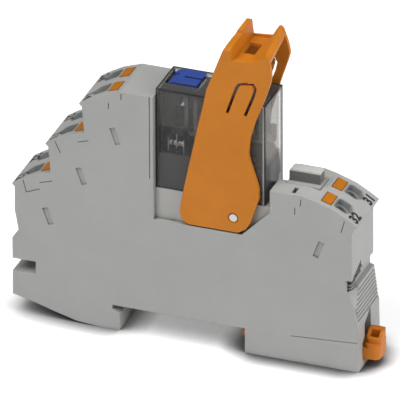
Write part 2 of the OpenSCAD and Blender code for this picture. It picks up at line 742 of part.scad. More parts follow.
module blade_pair(path, grow) {
    for (s = [-1, 1]) {
        slab(strip(path, blade_t / 2 + grow), s * column_pitch / 2 - blade_w / 2 - grow,
            s * column_pitch / 2 + blade_w / 2 + grow);
        translate([path[0][0], s * column_pitch / 2, socket_h - pin_l])
            block([-pin_t / 2 - grow, -pin_w / 2 - grow, 0],
                [pin_t / 2 + grow, pin_w / 2 + grow, pin_l + blade_w]);
    }
}

// A contact rivet on a blade at x, on its left (d = -1) or right (d = 1)
module rivet(x, d) {
    for (s = [-1, 1]) translate([x + d * blade_t / 2, s * column_pitch / 2, rivet_z])
        rotate([0, d * 90, 0]) cylinder(r = rivet_r, h = rivet_l);
}

module relay_base() {
    color("#2b2c2e") difference() {
        union() {
            block([inner_x0 + snug, -inner_y + snug, socket_h], [inner_x1 - snug, inner_y - snug, base_top]);
            block([yoke_right - 5 * yoke_t, -yoke_half, base_top - cut],
                [yoke_right - 3 * yoke_t, yoke_half, hinge_z - yoke_t]);
        }
        blade_pair(open_path(), snug);
        blade_pair(closed_path(), snug);
        blade_pair(common_path(), snug);
        coil_pin_pair(snug);
    }
}

module coil_pin_pair(grow) {
    for (s = [-1, 1]) translate([pin_x[3], s * column_pitch / 2, socket_h - pin_l])
        block([-pin_t / 2 - grow, -pin_w / 2 - grow, 0],
            [pin_t / 2 + grow, pin_w / 2 + grow, lug_z - socket_h + pin_l]);
}

module coil_pins() {
    color("#c9ccce") coil_pin_pair(0);
}

module fixed_contact_blades() {
    color("#d0cdc4") {
        blade_pair(open_path(), 0);
        blade_pair(closed_path(), 0);
        rivet(open_x, 1);
        rivet(closed_x, -1);
    }
}

module common_blades() {
    color("#d0cdc4") blade_pair(common_path(), 0);
}

module moving_contacts() {
    color("#c98f5a") {
        for (s = [-1, 1])
            block([moving_x - blade_t / 2, s * column_pitch / 2 - blade_w / 2, rivet_z - rivet_r - blade_t],
            [moving_x + blade_t / 2, s * column_pitch / 2 + blade_w / 2, hinge_z + carrier_up / 2]);
        rivet(moving_x, -1);
        rivet(moving_x, 1);
    }
}

carrier_down = 0.8;
carrier_up = 1.5;
carrier_half = 5.2;
armature_t = 1.1;
armature_half = 4.2;
armature_h = 10.2;
push_half = 1.4;
push_t = 1;
push_y = 1.2;

module contact_carrier() {
    color("#26272a") difference() {
        block([moving_x - armature_t, -carrier_half, hinge_z - carrier_down],
            [hinge_x - armature_t, carrier_half, hinge_z + carrier_up]);
        for (s = [-1, 1]) translate([moving_x, s * column_pitch / 2, hinge_z])
            block([-blade_t / 2 - snug, -blade_w / 2 - snug, -carrier_down - cut],
                [blade_t / 2 + snug, blade_w / 2 + snug, carrier_up / 2 + snug]);
    }
}

module armature() {
    color("#9a9da0") {
        block([hinge_x - armature_t, -armature_half, hinge_z + running], [hinge_x, armature_half, hinge_z + armature_h]);
        block([flip_x + axle_r + running, push_y - push_half, hinge_z + armature_h - push_t],
            [hinge_x, push_y + push_half, hinge_z + armature_h]);
    }
}

// Magnet system
yoke_t = 1.2;
yoke_half = 4.2;
yoke_end = 2.45;
yoke_right = relay_right - yoke_end;
yoke_h = 9.6;
core_r = 1.9;
pole_r = 3.2;
pole_t = 0.8;
coil_up = 5;
coil_z = hinge_z + coil_up;
pole_x = hinge_x + (coil_z + pole_r - hinge_z) * sin(armature_swing) + running;
flange_half = 4.6;
former_t = 0.9;
barrel_r = 2.5;
winding_r = 4.35;
lug_drop = 2.1;
lug_z = hinge_z - yoke_t - lug_drop;
lug_l = 3.3;
lug_half = 5.4;

module relay_yoke() {
    color("#a7aaad") {
        block([hinge_x + running, -yoke_half, hinge_z - yoke_t], [yoke_right, yoke_half, hinge_z]);
        block([yoke_right - yoke_t, -yoke_half, hinge_z - yoke_t], [yoke_right, yoke_half, hinge_z + yoke_h]);
    }
}

// A disc or rod along X
module axle_x(x0, x1, y, z, r) {
    translate([x0, y, z]) rotate([0, 90, 0]) cylinder(r = r, h = x1 - x0);
}

module coil_core() {
    color("#8e9194") {
        axle_x(pole_x, yoke_right - yoke_t, 0, coil_z, core_r);
        axle_x(pole_x, pole_x + pole_t, 0, coil_z, pole_r);
    }
}

module coil_bobbin() {
    x0 = pole_x + pole_t + snug;
    x1 = yoke_right - yoke_t - snug;
    color("#d9cfb4") difference() {
        union() {
            for (x = [x0, x1 - former_t])
                block([x, -flange_half, hinge_z + snug], [x + former_t, flange_half, coil_z + flange_half]);
            axle_x(x0, x1, 0, coil_z, barrel_r);
            for (s = [-1, 1]) {
                block([x1 - former_t, min(s * (yoke_half + snug), s * lug_half), lug_z],
                    [x1 - former_t + lug_l, max(s * (yoke_half + snug), s * lug_half), hinge_z + former_t]);
                block([x1 - former_t, min(s * (yoke_half - former_t), s * lug_half), lug_z],
                    [x1 - former_t + lug_l, max(s * (yoke_half - former_t), s * lug_half), hinge_z - yoke_t - snug]);
            }
        }
        axle_x(x0 - cut, x1 + cut, 0, coil_z, core_r + snug);
    }
}

module coil_winding() {
    x0 = pole_x + pole_t + 2 * snug + former_t;
    x1 = yoke_right - yoke_t - 2 * snug - former_t;
    color("#35322f") difference() {
        axle_x(x0, x1, 0, coil_z, winding_r);
        axle_x(x0 - cut, x1 + cut, 0, coil_z, barrel_r + snug);
    }
}

// Test lever: a flap that flips up and turns a cam against the armature
flip_in = 3.15;
flip_down = 0.7;
flip_x = relay_x + flip_in;
flip_z = inner_top - flip_down;
knuckle_r = 2.1;
knuckle_w = 1.8;
axle_r = 0.6;
cam_r = 1.3;
cam_off = 0.8;
flap_y0 = -2.4;
flap_y1 = 4.8;
flap_x1 = 3.1;
flap_t = 1.4;
flap_top = flip_z + knuckle_r + slip;
flap_slot_w = 0.8;
flap_slot_x = -1.4;
cheek_t = 0.5;
cheek_h = 3.6;
frame_t = 0.45;
frame_run = 3.6;

module test_lever() {
    color("#3350a8") difference() {
        union() {
            for (y = [flap_y0, flap_y1 - knuckle_w]) rod(flip_x, flip_z, knuckle_r, y, y + knuckle_w);
            rod(flip_x, flip_z, axle_r, flap_y0 - cheek_t, flap_y1 + cheek_t);
            rod(flip_x - cam_off, flip_z, cam_r, flap_y0 + cut, flap_y1 - cut);
            block([flip_x, flap_y0, flap_top - flap_t], [flap_x1, flap_y1, flap_top]);
        }
        block([flap_slot_x, (flap_y0 + flap_y1 - flap_slot_w) / 2, flip_z],
            [flap_x1 + cut, (flap_y0 + flap_y1 + flap_slot_w) / 2, flap_top + cut]);
    }
}

module relay_frame() {
    color("#1f2023") difference() {
        union() {
            for (y = [flap_y0 - slip - cheek_t, flap_y1 + slip])
                block([inner_x0 + running, y, inner_top - cheek_h], [flip_x + knuckle_r, y + cheek_t, inner_top]);
            block([inner_x0 + running, flap_y0 - slip - cheek_t, inner_top - cheek_h - top_t],
                [flip_x + knuckle_r, flap_y1 + slip + cheek_t, inner_top - cheek_h]);
            difference() {
                block([inner_x0 + running, -inner_y + snug, inner_top - frame_t],
                    [flap_x1 + frame_run, inner_y - snug, inner_top]);
                block([inner_x0 - cut, flap_y0 - slip, inner_top - frame_t - cut],
                    [flap_x1 + side_gap, flap_y1 + slip, inner_top + cut]);
            }
        }
        rod(flip_x, flip_z, axle_r + running, flap_y0 - body_w, flap_y1 + body_w);
    }
}

module relay_cover() {
    color([0.25, 0.26, 0.27, 0.5]) difference() {
        block([relay_x, -relay_y, socket_h], [relay_right, relay_y, relay_top]);
        block([inner_x0, -inner_y, socket_h - cut], [inner_x1, inner_y, inner_top]);
        block([inner_x0, flap_y0 - slip, inner_top - cut], [flap_x1 + side_gap, flap_y1 + slip, relay_top + cut]);
    }
}

module function_module() {
    color("#a9aaa4") difference() {
        union() {
            block([module_x, module_y - module_w / 2, block_h - module_head_h], [module_x + module_l, module_y + module_w / 2, block_h]);
            block([module_x, module_y - module_w / 2, module_low],
                [module_x + module_body_l, module_y + module_w / 2, block_h]);
            slab([[grip_x, block_h - running], [grip_x + grip_l, block_h - running],
                [grip_x + grip_l, block_h + grip_h], [grip_x + grip_edge, block_h + grip_h],
                [grip_x, block_h + grip_h - grip_edge]], grip_y - grip_w / 2, grip_y + grip_w / 2);
        }
    }
}

// The pair of flat blades under the function module, grown by g
module module_blades(g) {
    for (s = [-1, 1])
        translate([module_x + module_body_l / 2, module_y + s * module_w / 4, module_low - module_pin_l])
            block([-pin_t / 2 - g, -pin_w / 2 - g, -g], [pin_t / 2 + g, pin_w / 2 + g, module_pin_l]);
}

module module_contacts() {
    color("#c9ccce") module_blades(0);
}

// Rail latch: a bar with a nose under the rail's flange and a tab for a screwdriver
latch_top = channel_z - slip / 2;
latch_low = latch_top - latch_h;
nose_tip = slot_half - hook_reach;
tab_out = 4;
tab_w = 6.5;
tab_r = 1.4;
tab_h = 4.05;
tab_foot = 0.45;
cup_w = 5.2;
cup_y = -0.9;
cup_h = 6.8;
cup_slope_shares = [[-0.5, 0.80], [-0.26, 0.85], [0.02, 1], [0.40, 1], [0.5, 0.93]];
tab_wall = 0.8;
tab_pocket = 3.6;

module foot_latch() {
    y0 = latch_y - latch_w / 2;
    y1 = latch_y + latch_w / 2;
    tab_x = reach_right + slip;
    tab_z = latch_low + tab_foot;
    color("#d9822b") difference() {
        union() {
            slab([[nose_tip, latch_top - hook_bevel], [slot_half, latch_top], [tab_x + tab_r, latch_top],
                [tab_x + tab_r, tab_z], [tab_x, tab_z], [tab_x, latch_low], [slot_half - hook_reach / 4, latch_low],
                [nose_tip, latch_top - latch_h / 2]], y0, y1);
            translate([tab_x + tab_out / 2, latch_y, tab_z]) rounded_post(tab_out, tab_w, tab_r, tab_h);
            intersection() {
                translate([tab_x + tab_out / 2, cup_y, tab_z]) rounded_post(tab_out, cup_w, tab_r, cup_h);
                slab_x(concat([[cup_y + cup_w, tab_z], [cup_y - cup_w, tab_z]],
                    [for (s = cup_slope_shares) [cup_y + s[0] * cup_w, tab_z + s[1] * cup_h]]),
                    tab_x - cut, tab_x + tab_out + cut);
            }
        }
        block([tab_x + tab_wall, cup_y - cup_w / 2 + tab_wall, tab_z + cup_h - tab_pocket],
            [tab_x + tab_out - tab_wall, cup_y + slip, tab_z + cup_h + cut]);
        block([post_x + post_l + slip - spring_room - post_l, latch_y - post_w / 2 - 2 * slip, latch_low - cut],
            [post_x + post_l + latch_travel + slip, latch_y + post_w / 2 + 2 * slip, latch_top + cut]);
    }
}

// Zigzag spring between the latch and the housing's post
zig_turns = 5;
zig_t = 0.5;
function zig_path() = let (x0 = post_x + slip - spring_room + zig_t, x1 = post_x - zig_t,
    z0 = latch_low + zig_t, z1 = latch_top - zig_t)
    [for (i = [0 : zig_turns]) [x0 + (x1 - x0) * i / zig_turns, i % 2 == 0 ? z0 : z1]];

module latch_spring() {
    color("#c9ccce") slab(strip(zig_path(), zig_t / 2), latch_y - post_w / 2, latch_y + post_w / 2);
}

housing_tub();
side_cover();
relay_socket();
socket_contacts();
lever_pivot_pins();
wire_funnels();
terminal_partitions();
current_bar(1);  // current_bar_1
current_bar(2);  // current_bar_2
current_bar(3);  // current_bar_3
current_bar(4);  // current_bar_4
current_bar(5);  // current_bar_5
current_bar(6);  // current_bar_6
current_bar(7);  // current_bar_7
current_bar(8);  // current_bar_8
clamp_spring(1);  // clamp_spring_1
clamp_spring(2);  // clamp_spring_2
clamp_spring(3);  // clamp_spring_3
clamp_spring(4);  // clamp_spring_4
clamp_spring(5);  // clamp_spring_5
clamp_spring(6);  // clamp_spring_6
clamp_spring(7);  // clamp_spring_7
clamp_spring(8);  // clamp_spring_8
release_button(1);  // release_button_1
release_button(2);  // release_button_2
release_button(3);  // release_button_3
release_button(4);  // release_button_4
release_button(5);  // release_button_5
release_button(6);  // release_button_6
release_button(7);  // release_button_7
release_button(8);  // release_button_8
retaining_lever();
relay_base();
relay_cover();
relay_frame();
fixed_contact_blades();
common_blades();
coil_pins();
coil_bobbin();
coil_winding();
coil_core();
relay_yoke();
armature();
contact_carrier();
moving_contacts();
test_lever();
function_module();
module_contacts();
foot_latch();
latch_spring();
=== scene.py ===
"""Looks of the relay module: materials, contact screen, printed numbers, floor, light and camera."""
import math

import bmesh
import bpy
from mathutils import Matrix, Vector


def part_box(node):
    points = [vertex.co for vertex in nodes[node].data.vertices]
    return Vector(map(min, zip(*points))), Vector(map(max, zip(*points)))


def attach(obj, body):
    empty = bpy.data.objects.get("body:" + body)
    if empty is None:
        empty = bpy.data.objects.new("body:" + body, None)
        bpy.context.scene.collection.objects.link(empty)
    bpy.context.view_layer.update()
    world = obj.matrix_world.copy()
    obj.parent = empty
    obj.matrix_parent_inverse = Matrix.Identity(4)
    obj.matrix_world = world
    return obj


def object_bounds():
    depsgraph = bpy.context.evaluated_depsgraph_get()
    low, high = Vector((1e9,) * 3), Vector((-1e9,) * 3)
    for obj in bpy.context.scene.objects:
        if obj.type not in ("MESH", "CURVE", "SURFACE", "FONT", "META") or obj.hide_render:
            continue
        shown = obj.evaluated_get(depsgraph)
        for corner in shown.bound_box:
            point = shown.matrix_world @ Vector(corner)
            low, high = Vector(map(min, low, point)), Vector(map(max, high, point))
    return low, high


MM = 0.001
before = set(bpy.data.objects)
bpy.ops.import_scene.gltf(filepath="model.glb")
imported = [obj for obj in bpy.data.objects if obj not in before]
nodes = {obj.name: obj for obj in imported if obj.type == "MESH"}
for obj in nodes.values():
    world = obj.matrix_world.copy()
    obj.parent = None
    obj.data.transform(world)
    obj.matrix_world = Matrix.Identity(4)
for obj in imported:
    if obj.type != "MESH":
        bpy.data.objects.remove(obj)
cad_box = [list(corner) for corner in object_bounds()]


# Shader steps. Each takes the node tree first and returns the socket that carries its result.
def new_material(name):
    mat = bpy.data.materials.new(name)
    mat.use_nodes = True
    tree = mat.node_tree
    return mat, tree, tree.nodes["Principled BSDF"]


def axes(tree):
    """The x, y and z of a point in the row frame, in metres."""
    where = tree.nodes.new("ShaderNodeTexCoord")
    split = tree.nodes.new("ShaderNodeSeparateXYZ")
    tree.links.new(where.outputs["Object"], split.inputs["Vector"])
    return split.outputs


def noise(tree, scale, detail=3.0, rough=0.5, stretch=(1, 1, 1)):
    """Noise in the row frame, at scale features a metre."""
    place = tree.nodes.new("ShaderNodeTexCoord")
    turn = tree.nodes.new("ShaderNodeMapping")
    turn.inputs["Scale"].default_value = stretch
    tex = tree.nodes.new("ShaderNodeTexNoise")
    tex.inputs["Scale"].default_value = scale
    tex.inputs["Detail"].default_value = detail
    tex.inputs["Roughness"].default_value = rough
    tree.links.new(place.outputs["Object"], turn.inputs["Vector"])
    tree.links.new(turn.outputs["Vector"], tex.inputs["Vector"])
    return tex.outputs["Fac"]


def ramp(tree, fac, first, last, between=(), interpolation="LINEAR"):
    """Colours along fac; each stop is a (place, colour) pair."""
    node = tree.nodes.new("ShaderNodeValToRGB")
    for stop, (place, colour) in zip(node.color_ramp.elements, (first, last)):
        stop.position = place
        stop.color = (*colour, 1)
    for place, colour in between:
        node.color_ramp.elements.new(place).color = (*colour, 1)
    node.color_ramp.interpolation = interpolation
    tree.links.new(fac, node.inputs["Fac"])
    return node.outputs["Color"]


def span(tree, fac, low, high, start=0.0, end=1.0):
    """low where fac is start or less, high where it is end or more, and even between."""
    node = tree.nodes.new("ShaderNodeMapRange")
    node.inputs["From Min"].default_value = start
    node.inputs["From Max"].default_value = end
    node.inputs["To Min"].default_value = low
    node.inputs["To Max"].default_value = high
    tree.links.new(fac, node.inputs["Value"])
    return node.outputs["Result"]


def maths(tree, operation, *values):
    """One maths step on one, two or three values, each a socket or a number."""
    node = tree.nodes.new("ShaderNodeMath")
    node.operation = operation
    for socket, value in zip(node.inputs, values):
        if isinstance(value, (int, float)):
            socket.default_value = value
        else:
            tree.links.new(value, socket)
    return node.outputs[0]


def most(tree, first, *others):
    """The largest of several masks."""
    for other in others:
        first = maths(tree, "MAXIMUM", first, other)
    return first


def product(tree, first, *others):
    for other in others:
        first = maths(tree, "MULTIPLY", first, other)
    return first


def openness(tree, reach, power, samples=8):
    """How open a point is to its surroundings: 1 on an open face, near 0 deep in a slot."""
    near = tree.nodes.new("ShaderNodeAmbientOcclusion")
    near.samples = samples
    near.inputs["Distance"].default_value = reach
    return maths(tree, "POWER", near.outputs["AO"], power)


def rise_between(tree, low, high):
    """0 below z = low and 1 above z = high, in the row frame."""
    return span(tree, axes(tree)["Z"], 0.0, 1.0, low, high)


def within(tree, spans):
    """1 inside a box given by three (low, high) pairs in the row frame, else 0."""
    place = axes(tree)
    sides = []
    for axis, (low, high) in enumerate(spans):
        sides.append(maths(tree, "GREATER_THAN", place[axis], low))
        sides.append(maths(tree, "LESS_THAN", place[axis], high))
    return product(tree, *sides)


def near_face(tree, low, high, axis, width):
    """1 at either face of a box along one axis, and 0 from width inwards."""
    off = maths(tree, "SUBTRACT", axes(tree)[axis], (low[axis] + high[axis]) / 2)
    half = (high[axis] - low[axis]) / 2
    return span(tree, maths(tree, "ABSOLUTE", off), 0.0, 1.0, half - width, half - width / 3)


def bump(tree, bsdf, surface, depth, edge):
    """Fine relief over an edge rounding of radius edge, both in metres."""
    round_edge = tree.nodes.new("ShaderNodeBevel")
    round_edge.samples = 6
    round_edge.inputs["Radius"].default_value = edge
    relief = tree.nodes.new("ShaderNodeBump")
    relief.inputs["Strength"].default_value = 1
    relief.inputs["Distance"].default_value = depth
    tree.links.new(surface, relief.inputs["Height"])
    tree.links.new(round_edge.outputs["Normal"], relief.inputs["Normal"])
    tree.links.new(relief.outputs["Normal"], bsdf.inputs["Normal"])


# Materials
PAINTED_SHADE_REACH = 2.0 * MM        # how near a facing wall has to be for painted shade in a plastic corner
PAINTED_SHADE_TONE = 0.08       # what is left of the colour under the painted shade at the bottom of a slot


def plastic(name, colour, rough=0.5, spread=0.05, grain=4200, depth=0.000012, edge=0.00022,
            coat=0.0, sheen=0.5, corners=0.6, lit=None, lift_painted_shade=None):
    """Moulded plastic: faint flow marks, a fine eroded grain, rounded edges, and painted shade that darkens
    its corners and slots.

    lit, if given, adds a mask to the tree that paints shade where it is 0; the last argument adds one that
    lifts the painted shade where it is over 0, so that a shallow groove looks fainter.
    """
    mat, tree, bsdf = new_material(name)
    painted_shade_colour = [c * PAINTED_SHADE_TONE for c in colour]
    dark = [c * (1 - spread) for c in colour]
    light = [min(1, c * (1 + spread)) for c in colour]
    flow = span(tree, noise(tree, scale=90, detail=5, rough=0.62), 0.25, 1.0)
    # Painted shade: the colour darkens in corners and slots by how closed in the surface is, on top of the
    # flow marks.
    flow_and_painted_shade = product(tree, flow, openness(tree, PAINTED_SHADE_REACH, corners))
    if lit:
        flow_and_painted_shade = product(tree, flow_and_painted_shade, lit(tree))
    if lift_painted_shade:
        flow_and_painted_shade = most(tree, flow_and_painted_shade, lift_painted_shade(tree))
    shade = ramp(tree, flow_and_painted_shade, (0.0, painted_shade_colour), (0.75, light), [(0.45, dark)])
    tree.links.new(shade, bsdf.inputs["Base Color"])
    fine = noise(tree, grain, detail=4, rough=0.6)
    tree.links.new(span(tree, fine, rough - 0.07, rough + 0.07), bsdf.inputs["Roughness"])
    bsdf.inputs["Specular IOR Level"].default_value = sheen
    bsdf.inputs["Coat Weight"].default_value = coat
    bsdf.inputs["Coat Roughness"].default_value = 0.18
    bump(tree, bsdf, fine, depth, edge)
    return mat


def metal(name, colour, rough=0.3, stretch=(1, 1, 12), tarnish=0.25, edge=0.00008):
    """Rolled or stamped strip: drawn lines along one way and a little tarnish."""
    mat, tree, bsdf = new_material(name)
    bsdf.inputs["Metallic"].default_value = 1
    stain = noise(tree, scale=260, detail=4, rough=0.6)
    dark = [c * (1 - tarnish) for c in colour]
    tree.links.new(ramp(tree, stain, (0.35, dark), (0.7, colour)), bsdf.inputs["Base Color"])
    lines = noise(tree, scale=2600, detail=3, rough=0.7, stretch=stretch)
    tree.links.new(span(tree, lines, rough - 0.1, rough + 0.12), bsdf.inputs["Roughness"])
    bump(tree, bsdf, lines, 0.000006, edge)
    return mat


# Tops of what stands under the smoked cover; the blades reach BLADE_RISE over the relay's base
BLADE_RISE = 0.25 * MM
BLADE_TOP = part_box("common_blades")[1][2]
CARRIER_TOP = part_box("contact_carrier")[1][2]

# Smoked cover: where its tone changes
RIM_W = 0.9 * MM          # dark band along its edges
WALL = 1.0 * MM           # a little more than its wall
LID = (0.3 * MM, 0.2 * MM)
FOOT = 0.6 * MM
SEAM = 0.35 * MM          # dark line over the contacts
CONTACTS_END = 9 * MM
GLINT = (0.75 * MM, 0.35 * MM)
GLINT_DEPTH = 0.2 * MM
COIL_RISE = 9 * MM

# Its tones, by how thick the plastic looks, and a painted glint tone
CLEAR_TONE, MIDDLE_TONE = (0.2, 0.2, 0.195), (0.13, 0.131, 0.133)
RIM_TONE, GLINT_TONE = (0.045, 0.046, 0.047), (0.5, 0.49, 0.45)


def cover_thickness(tree, low, high):
    """How dense the cover looks: 1 along the edges, where more plastic is looked through, half in the lid,
    and 0.55 below the blade tops, so it is darker towards the bottom.
    """
    x, y, z = (near_face(tree, low, high, axis, RIM_W) for axis in range(3))
    rim = most(tree, product(tree, x, y), product(tree, most(tree, x, y), z))
    seam = within(tree, ((low[0] - WALL, CONTACTS_END), (low[1] - WALL, low[1] + WALL),
                         (CARRIER_TOP, CARRIER_TOP + SEAM)))
    lid = rise_between(tree, high[2] - LID[0], high[2] - LID[1])
    above_foot = rise_between(tree, BLADE_TOP - FOOT, BLADE_TOP)
    foot = maths(tree, "MULTIPLY_ADD", above_foot, -0.55, 0.55)
    return most(tree, rim, product(tree, seam, 0.75), product(tree, lid, 0.5), foot)


def cover_painted_light(tree, low, high):
    """Painted light on the cover: a painted glint on the near right edge, and a painted paler tone on its
    right wall.
    """
    glint = within(tree, ((high[0] - GLINT[0], high[0] - GLINT[1]), (low[1] - WALL, low[1] + GLINT_DEPTH),
                          (low[2], high[2])))
    right, inset = (high[0] - WALL, high[0] + WALL), (low[1] + WALL, high[1] - WALL)
    side = within(tree, (right, inset, (BLADE_TOP, high[2] - WALL)))
    beside_coil = within(tree, (right, inset, (BLADE_TOP, BLADE_TOP + COIL_RISE)))
    side = maths(tree, "ADD", side, product(tree, beside_coil, 0.03))
    return most(tree, glint, product(tree, side, 0.92))


def smoked(name):
    """Clear tinted moulding with faint scuffs; it looks darker along its thick edges."""
    mat, tree, bsdf = new_material(name)
    scuff = noise(tree, scale=700, detail=5, rough=0.7, stretch=(1, 1, 0.25))
    tree.links.new(span(tree, scuff, 0.05, 0.2), bsdf.inputs["Roughness"])
    bsdf.inputs["Specular IOR Level"].default_value = 0.4
    bsdf.inputs["IOR"].default_value = 1.25
    low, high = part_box("relay_cover")
    thick = cover_thickness(tree, low, high)
    tree.links.new(span(tree, thick, 0.32, 0.9), bsdf.inputs["Alpha"])
    band = within(tree, ((low[0] - WALL, CONTACTS_END), (low[1] - WALL, low[1] + WALL),
                         (BLADE_TOP, CARRIER_TOP)))
    # The tone takes in the painted glint and the painted paler right wall.
    tone = most(tree, product(tree, thick, 0.8), product(tree, band, 0.5), product(tree, scuff, 0.15),
                cover_painted_light(tree, low, high))
    tint = ramp(tree, tone, (0.0, CLEAR_TONE), (0.44, MIDDLE_TONE),
                [(0.72, RIM_TONE), (0.82, RIM_TONE), (0.95, GLINT_TONE)])
    tree.links.new(tint, bsdf.inputs["Base Color"])
    bump(tree, bsdf, scuff, 0.000006, 0.0003)
    mat.surface_render_method = "DITHERED"
    return mat


# Where shade is painted on the tub around the curved gap in its right end, in mm: the gap's inner wall, its
# groove, and the box that holds its outer end, which climbs across the end face in a band along z =
# GAP_SLOPE * y + GAP_START
GAP_INNER = ((40, 44.4), (-6.7, 1.5), (14.9, 21.5))
GAP_GROOVE = ((44, 45.9), (-6.9, 1.0), (16.8, 18.7))
GAP_END = ((43, 47), (-7.2, -1.1), (17.3, 21.4))
GAP_SLOPE, GAP_START, GAP_HALF = 0.42, 21.2, 0.75


def outside_painted_gap_shade(tree):
    """1 on the tub but 0 in and around the gap, where painted shade makes it look as dark as the inside it
    opens into.
    """
    inner, groove, end = (within(tree, [(low * MM, high * MM) for low, high in spans])
                          for spans in (GAP_INNER, GAP_GROOVE, GAP_END))
    place = axes(tree)
    start = maths(tree, "MULTIPLY_ADD", place["Y"], -GAP_SLOPE, place["Z"])
    off = maths(tree, "ABSOLUTE", maths(tree, "SUBTRACT", start, GAP_START * MM))
    end = product(tree, end, maths(tree, "LESS_THAN", off, GAP_HALF * MM))
    return maths(tree, "MULTIPLY_ADD", most(tree, inner, groove, end), -1, 1)


# Where the painted corner shade is lifted, so that the line along the foot of the side cover looks faint, in
# mm
FOOT_LINE = ((26, 48), (-8.5, -7), (0, 1.6))


# 0.75 in that box: it lifts the painted shade that would otherwise darken the line there.
def foot_line_shade_lift(tree):
    return product(tree, within(tree, [(low * MM, high * MM) for low, high in FOOT_LINE]), 0.75)


HOUSING_TONE = (0.415, 0.418, 0.405)
DECK_RISE = (40.3 + 6.9) * MM     # height of the right block over the feet


def module_moulding(name, side, top):
    """Grey head with a darker grip, whose top face has a painted highlight that makes it much paler than its
    sides.
    """
    mat = plastic(name, side, rough=0.52, spread=0.04)
    tree = mat.node_tree
    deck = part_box("housing_tub")[0][2] + DECK_RISE
    rise = rise_between(tree, deck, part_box("function_module")[1][2])
    # The top tone is a painted highlight on the grip's top face.
    shade = ramp(tree, rise, (0.0, HOUSING_TONE), (1.0, top),
                 [(0.05, side), (0.80, side), (0.85, top)], "CONSTANT")
    tree.links.new(shade, tree.nodes["Principled BSDF"].inputs["Base Color"])
    return mat


def winding_tape(name):
    """Glossy tape over wound wire: the turns show as fine rings across the coil."""
    mat, tree, bsdf = new_material(name)
    turns = noise(tree, scale=500, detail=2, rough=0.5, stretch=(6, 0.4, 0.4))
    shade = ramp(tree, turns, (0.3, (0.03, 0.024, 0.02)), (0.7, (0.09, 0.07, 0.055)))
    tree.links.new(shade, bsdf.inputs["Base Color"])
    bsdf.inputs["Roughness"].default_value = 0.28
    bump(tree, bsdf, turns, 0.00004, 0.0001)
    return mat


def print_ink(name, colour):
    """Printing ink, worn paler in specks."""
    mat, tree, bsdf = new_material(name)
    wear = noise(tree, scale=3000, detail=4, rough=0.7)
    worn = [min(1, c * 1.7 + 0.03) for c in colour]
    tree.links.new(ramp(tree, wear, (0.45, colour), (0.8, worn)), bsdf.inputs["Base Color"])
    bsdf.inputs["Roughness"].default_value = 0.6
    return mat


GREY = plastic("housing_grey", HOUSING_TONE, rough=0.56, spread=0.035, corners=0.8,
               lift_painted_shade=foot_line_shade_lift)
# The tub has painted shade around the curved gap in its right end.
TUB = plastic("housing_grey_tub", HOUSING_TONE, rough=0.56, spread=0.035, corners=0.8,
              lit=outside_painted_gap_shade)
SOCKET = plastic("socket_grey", (0.44, 0.44, 0.425), spread=0.03)
ORANGE = plastic("lever_orange", (0.625, 0.205, 0.012), spread=0.06, grain=3600, depth=0.000008,
                 edge=0.0003, sheen=0.3, corners=0.2)
BUTTON = plastic("button_orange", (0.50, 0.17, 0.011), rough=0.45, depth=0.00001, edge=0.0002,
                 sheen=0.3)
LATCH = plastic("latch_orange", (0.62, 0.185, 0.012), rough=0.45, spread=0.06, grain=3600,
                depth=0.000008, edge=0.0004, sheen=0.3, corners=0.2)
# A darker grey than the housing: painted shade for the depth of the wire entries, also used on the terminal
# partitions.
SHADED_FUNNEL = plastic("funnel_shaded_grey", (0.29, 0.3, 0.3), rough=0.6, spread=0.1)
# The second tone is the painted highlight on the grip's top face.
MODULE = module_moulding("module_grey", (0.135, 0.135, 0.131), (0.60, 0.60, 0.58))
BLACK = plastic("relay_black", (0.016, 0.0165, 0.018), rough=0.42, spread=0.15)
BASE = plastic("relay_base_grey", (0.085, 0.086, 0.09), rough=0.45, spread=0.12)
CREAM = plastic("bobbin_cream", (0.62, 0.55, 0.42))
BLUE = plastic("test_blue", (0.042, 0.088, 0.38), rough=0.35, spread=0.08, grain=3600,
               depth=0.000006, edge=0.0002, coat=0.2)
STEEL = metal("spring_steel", (0.62, 0.63, 0.64), rough=0.28)
PIVOT = metal("turned_pin", (0.55, 0.555, 0.55), rough=0.32, stretch=(1, 8, 1), tarnish=0.15,
              edge=0.0002)
COPPER = metal("copper_strip", (0.72, 0.42, 0.24), rough=0.34)
SILVER = metal("contact_silver", (0.80, 0.77, 0.68), tarnish=0.3)
IRON = metal("soft_iron", (0.17, 0.175, 0.185), rough=0.36, stretch=(10, 1, 1))
INK = print_ink("print_black", (0.02, 0.02, 0.02))

FINISH = {
    "housing_tub": TUB, "side_cover": GREY, "relay_socket": SOCKET, "socket_contacts": COPPER,
    "lever_pivot_pins": PIVOT, "wire_funnels": SHADED_FUNNEL, "terminal_partitions": SHADED_FUNNEL,
    "latch_spring": STEEL, "retaining_lever": ORANGE, "relay_base": BASE,
    "relay_cover": smoked("relay_smoked"), "relay_frame": BLACK, "fixed_contact_blades": SILVER,
    "common_blades": SILVER, "coil_pins": SILVER, "coil_bobbin": CREAM,
    "coil_winding": winding_tape("coil_tape"), "coil_core": IRON, "relay_yoke": IRON,
    "armature": IRON, "contact_carrier": BLACK, "moving_contacts": SILVER, "test_lever": BLUE,
    "function_module": MODULE, "module_contacts": SILVER, "foot_latch": LATCH,
}
FAMILIES = {"current_bar_": COPPER, "clamp_spring_": STEEL, "release_button_": BUTTON}

for name, obj in nodes.items():
    finish = FINISH.get(name) or next(m for start, m in FAMILIES.items() if name.startswith(start))
    obj.data.materials.clear()
    obj.data.materials.append(finish)


def link_new(name, data):
    obj = bpy.data.objects.new(name, data)
    bpy.context.scene.collection.objects.link(obj)
    return obj


# Dark screen behind the contacts, along the far and left walls inside the clear cover
SCREEN_WALL = 0.22 * MM
SCREEN_INSET = 0.03 * MM
SCREEN_REACH = 12.5 * MM   # along the far wall
SCREEN_CORNER = 0.5 * MM   # cut off the corner
SCREEN_STOP = 1.5 * MM     # short of the near side
SCREEN_RIM = 0.06 * MM


